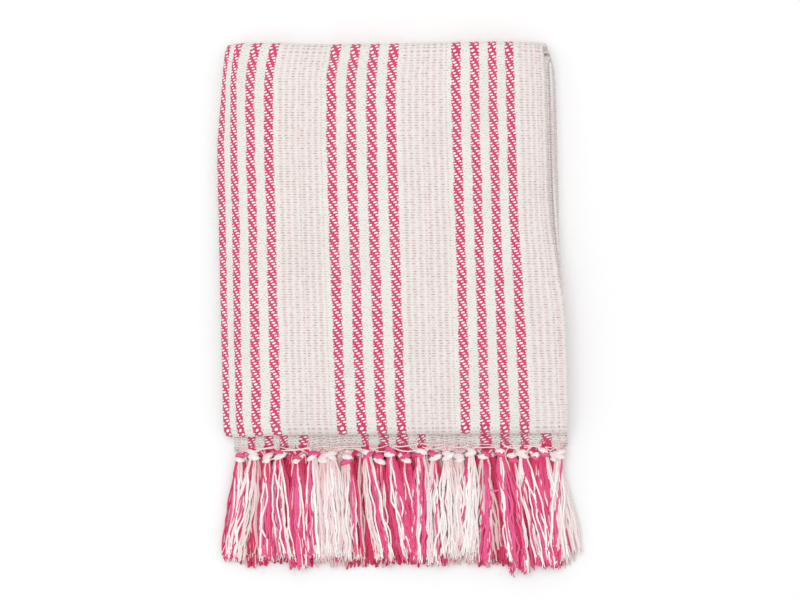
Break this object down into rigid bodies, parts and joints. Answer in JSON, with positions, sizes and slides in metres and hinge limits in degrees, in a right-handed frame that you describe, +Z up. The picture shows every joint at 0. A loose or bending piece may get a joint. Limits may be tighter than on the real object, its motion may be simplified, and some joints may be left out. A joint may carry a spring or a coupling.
{
  "type": "folded cotton blanket",
  "caption": "Striped woven cotton throw folded into a flat rectangular stack, with the knotted tassel fringes of both its ends lying out in front of the last fold.",
  "frame": {"origin": "on the surface that the folded blanket lies on, under the middle of its bounding box, fringe and all", "axes": "+Z up, +Y from the fringe to the back fold, +X to the right, along the front fold"},
  "size_m": [0.3558, 0.5042, 0.0412],
  "materials": {
    "woven_cotton": "matt cream cotton twill with warp stripes in hot pink and fine dashes in pale pink",
    "cotton_yarn": "matt soft-spun cotton warp yarns in cream, pale pink and hot pink, knotted into tassels"
  },
  "bodies": {
    "root": {"folded_cloth": "woven_cotton", "lower_fringe": "cotton_yarn", "upper_fringe": "cotton_yarn"}
  },
  "joints": []
}
